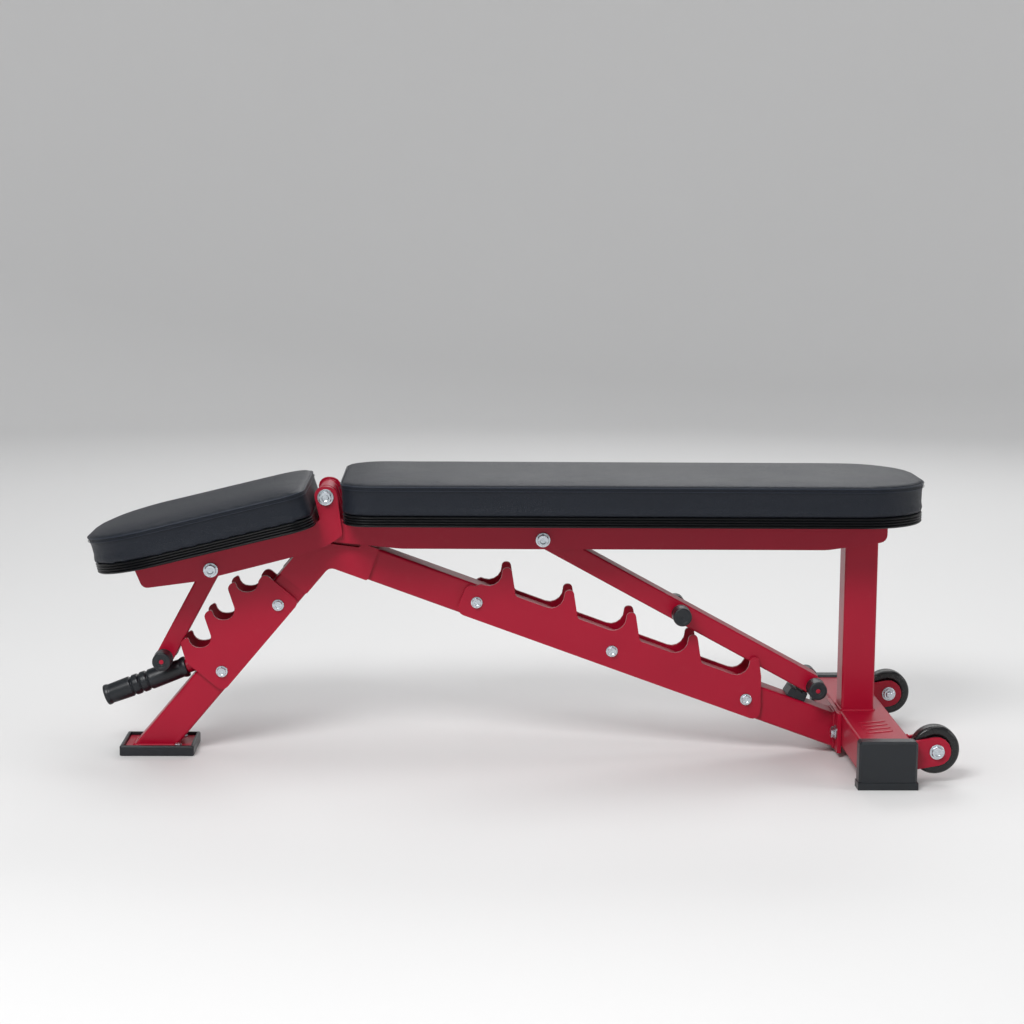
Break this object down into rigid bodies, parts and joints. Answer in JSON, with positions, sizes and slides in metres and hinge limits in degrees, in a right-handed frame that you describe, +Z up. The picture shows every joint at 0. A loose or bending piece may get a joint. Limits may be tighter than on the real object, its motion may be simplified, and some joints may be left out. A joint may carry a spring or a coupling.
{
  "type": "adjustable weight bench",
  "caption": "Folding-angle exercise bench with a sloping box-tube frame, hook ladders for the seat and backrest struts, padded seat and back, drag handle and transport wheels.",
  "frame": {"origin": "middle of the bench's length and width, on the floor", "axes": "+X along the bench from the seat to the wheels, +Y across it, +Z up"},
  "size_m": [1.2826, 0.4794, 0.4303],
  "materials": {
    "paint": "semi-gloss red powder coat",
    "zinc": "bright zinc plate",
    "rubber": "satin moulded black",
    "tyre": "matte black",
    "hub": "moulded black",
    "vinyl": "black upholstery vinyl",
    "board": "bare plywood, covered underneath by the cover's turned edge"
  },
  "bodies": {
    "frame": {"apex_gusset_far": "paint", "apex_gusset_near": "paint", "back_ladder_bolt_1": "zinc", "back_ladder_bolt_2": "zinc", "back_ladder_bolt_3": "zinc", "back_ladder_far": "paint", "back_ladder_near": "paint", "base_cap_far": "rubber", "base_cap_near": "rubber", "flange_bolt_far": "zinc", "flange_bolt_near": "zinc", "foot_bolt_far": "zinc", "foot_bolt_near": "zinc", "foot_plate": "paint", "front_foot": "rubber", "front_leg": "paint", "handle_grip": "rubber", "handle_tube": "paint", "hinge_bolt": "zinc", "pivot_tower": "paint", "post_bumper": "rubber", "rear_base_tube": "paint", "rear_post": "paint", "rear_spar": "paint", "seat_ladder_bolt_1": "zinc", "seat_ladder_bolt_2": "zinc", "seat_ladder_far": "paint", "seat_ladder_near": "paint", "spar_end_plate": "paint", "strut_rest_bumper": "rubber", "wheel_axle_far": "zinc", "wheel_axle_near": "zinc", "wheel_bracket_far_inner": "paint", "wheel_bracket_far_outer": "paint", "wheel_bracket_near_inner": "paint", "wheel_bracket_near_outer": "paint"},
    "wheel_near": {"tyre_near": "tyre", "hub_near": "hub"},
    "wheel_far": {"tyre_far": "tyre", "hub_far": "hub"},
    "seat": {"seat_frame": "paint", "seat_board": "board", "seat_pad": "vinyl", "seat_strut_bolt": "zinc"},
    "back": {"back_frame": "paint", "back_board": "board", "back_pad": "vinyl", "back_strut_bolt": "zinc"},
    "seat_strut": {"seat_strut": "paint", "seat_strut_bar": "paint", "seat_strut_bar_cap_near": "rubber", "seat_strut_bar_cap_far": "rubber"},
    "back_strut": {"back_strut": "paint", "back_strut_bar": "paint", "back_strut_bar_cap_near": "rubber", "back_strut_bar_cap_far": "rubber", "strut_grip_bar": "paint", "strut_grip_bar_cap_near": "rubber", "strut_grip_bar_cap_far": "rubber"}
  },
  "joints": [
    {"name": "seat_hinge", "type": "hinge", "parent": "frame", "child": "seat", "pos_m": [-0.28725, 0, 0.398], "axis": [0, 1, 0], "range_deg": [0, 14.3]},
    {"name": "backrest_hinge", "type": "hinge", "parent": "frame", "child": "back", "pos_m": [-0.28725, 0, 0.398], "axis": [0, -1, 0], "range_deg": [0, 84.5]},
    {"name": "seat_strut_pivot", "type": "hinge", "parent": "seat", "child": "seat_strut", "pos_m": [-0.45865, 0, 0.2878], "axis": [0, 1, 0], "range_deg": [-29, 0]},
    {"name": "back_strut_pivot", "type": "hinge", "parent": "back", "child": "back_strut", "pos_m": [0.03715, 0, 0.3336], "axis": [0, -1, 0], "range_deg": [-120, 0]},
    {"name": "wheel_near_spin", "type": "hinge", "parent": "frame", "child": "wheel_near", "pos_m": [0.60575, -0.1906, 0.05], "axis": [0, 1, 0], "continuous": true},
    {"name": "wheel_far_spin", "type": "hinge", "parent": "frame", "child": "wheel_far", "pos_m": [0.60575, 0.1906, 0.05], "axis": [0, 1, 0], "continuous": true}
  ],
  "couplings": [
    {"joint": "seat_strut_pivot", "follows": "seat_hinge", "ratio": -2},
    {"joint": "back_strut_pivot", "follows": "backrest_hinge", "ratio": -1.413}
  ]
}
